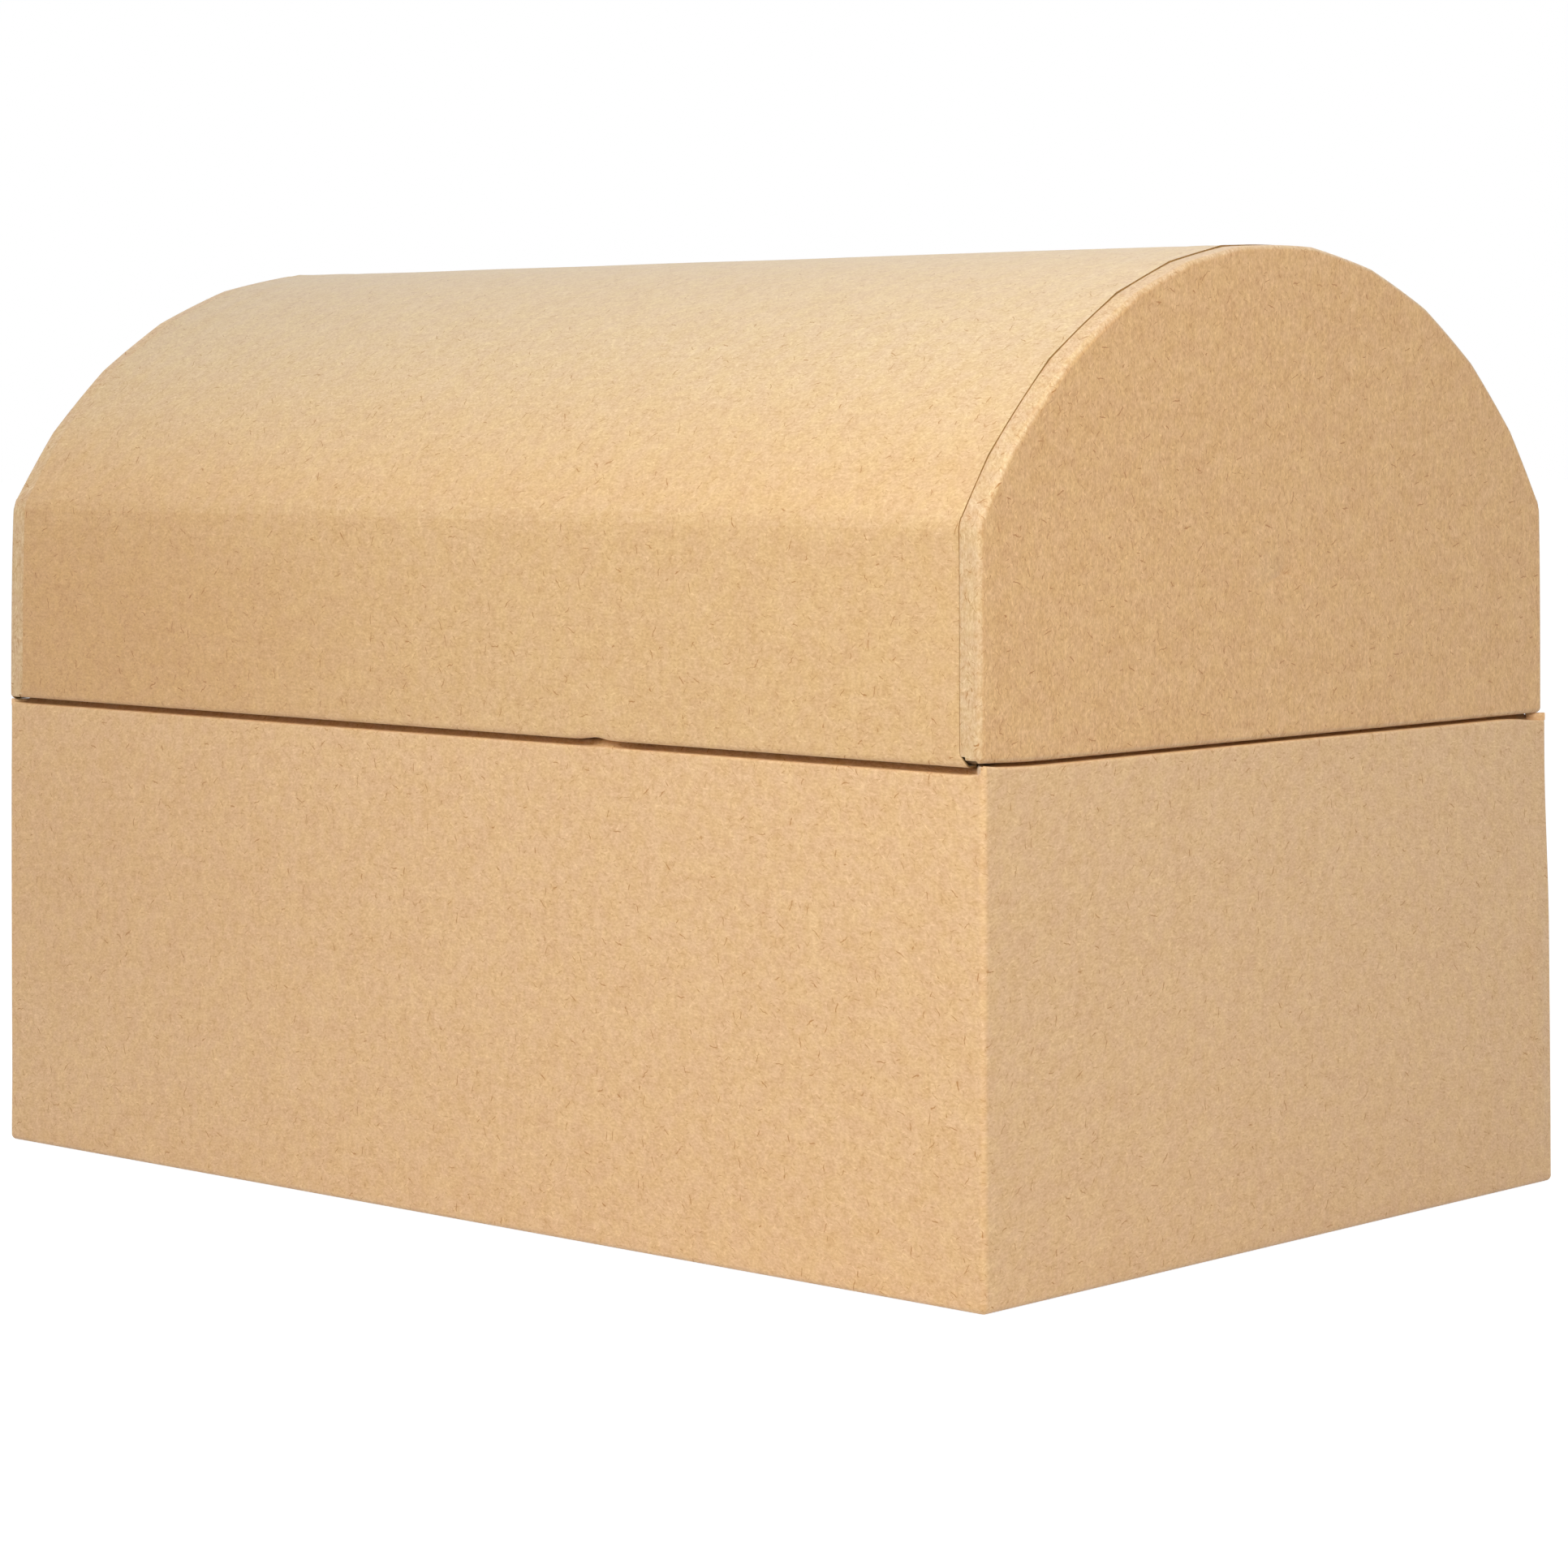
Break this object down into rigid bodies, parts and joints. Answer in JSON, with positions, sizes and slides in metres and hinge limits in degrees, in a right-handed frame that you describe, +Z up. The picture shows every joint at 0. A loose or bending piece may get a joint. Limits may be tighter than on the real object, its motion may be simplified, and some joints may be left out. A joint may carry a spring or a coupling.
{
  "type": "treasure chest box",
  "caption": "Hinged keepsake chest of greyboard covered in plain kraft paper: a rectangular base and a domed lid with arched ends that swings up on a paper hinge along the back.",
  "frame": {"origin": "middle of the underside, on the surface that the chest stands on", "axes": "+X along the length to the right, -Y to the front, +Y to the hinge at the back, +Z up"},
  "size_m": [0.24, 0.1546, 0.1663],
  "materials": {
    "kraft_cover": "uncoated brown kraft, matt",
    "lining_paper": "uncoated brown kraft, matt",
    "hinge_paper": "uncoated brown kraft, matt",
    "stay_tape": "gummed paper tape, matt",
    "greyboard": "raw solid board, matt"
  },
  "bodies": {
    "base": {"base_floor_board": "greyboard", "base_front_board": "greyboard", "base_back_board": "greyboard", "base_left_end_board": "greyboard", "base_right_end_board": "greyboard", "base_stay_front_left": "stay_tape", "base_stay_front_right": "stay_tape", "base_stay_back_left": "stay_tape", "base_stay_back_right": "stay_tape", "base_wrap": "kraft_cover", "base_underside_sheet": "kraft_cover", "base_wall_lining": "lining_paper", "base_floor_lining": "lining_paper", "hinge_strip": "hinge_paper", "hinge_liner": "hinge_paper"},
    "lid": {"lid_shell_board": "greyboard", "lid_left_end_board": "greyboard", "lid_right_end_board": "greyboard", "lid_shell_cover": "kraft_cover", "lid_left_end_cover": "kraft_cover", "lid_right_end_cover": "kraft_cover", "lid_shell_lining": "lining_paper", "lid_left_end_lining": "lining_paper", "lid_right_end_lining": "lining_paper"}
  },
  "joints": [
    {"name": "lid_hinge", "type": "hinge", "parent": "base", "child": "lid", "pos_m": [0, 0.0773, 0.0841], "axis": [-1, 0, 0], "range_deg": [0, 105], "deforming": ["hinge_strip", "hinge_liner"]}
  ]
}
